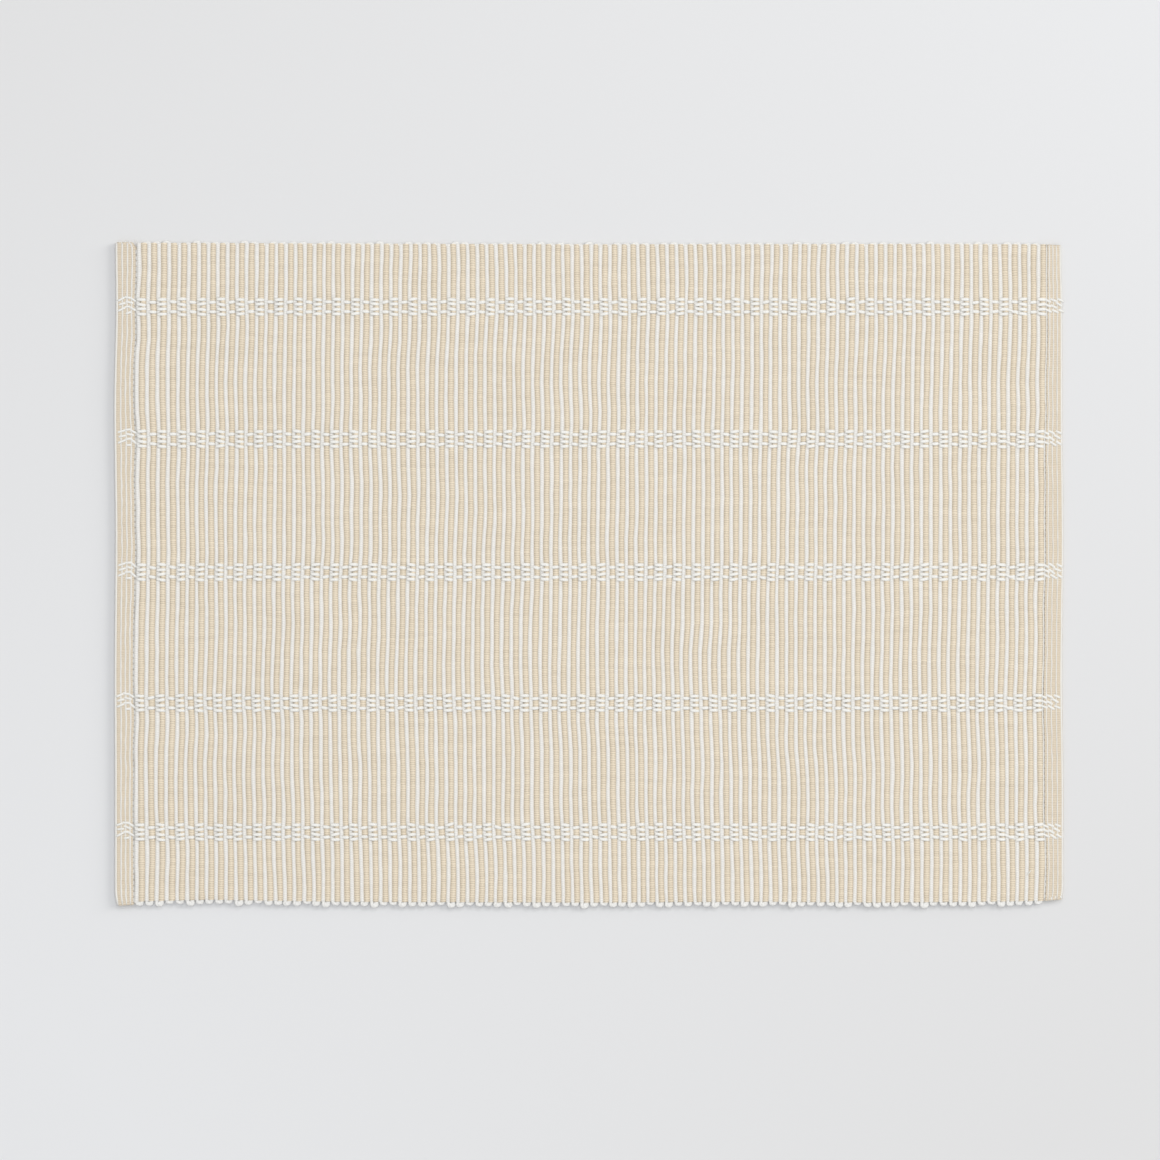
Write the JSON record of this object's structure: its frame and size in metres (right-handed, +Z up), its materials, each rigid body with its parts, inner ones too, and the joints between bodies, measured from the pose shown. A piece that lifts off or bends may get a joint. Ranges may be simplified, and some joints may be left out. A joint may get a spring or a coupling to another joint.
{
  "type": "placemat",
  "caption": "Flat rectangular woven placemat of wide and narrow ribs that run across it, with looped long edges and a narrow hem at each short end.",
  "frame": {"origin": "middle of the mat, on the surface that it lies on", "axes": "+X along the mat's long side, across the ribs; +Y along the ribs; +Z up, out of the mat's upper face"},
  "size_m": [0.5006, 0.353, 0.0029],
  "materials": {
    "cotton": "matt ribbed cotton, beige with white ribs"
  },
  "bodies": {
    "root": {"placemat_cloth": "cotton"}
  },
  "joints": []
}
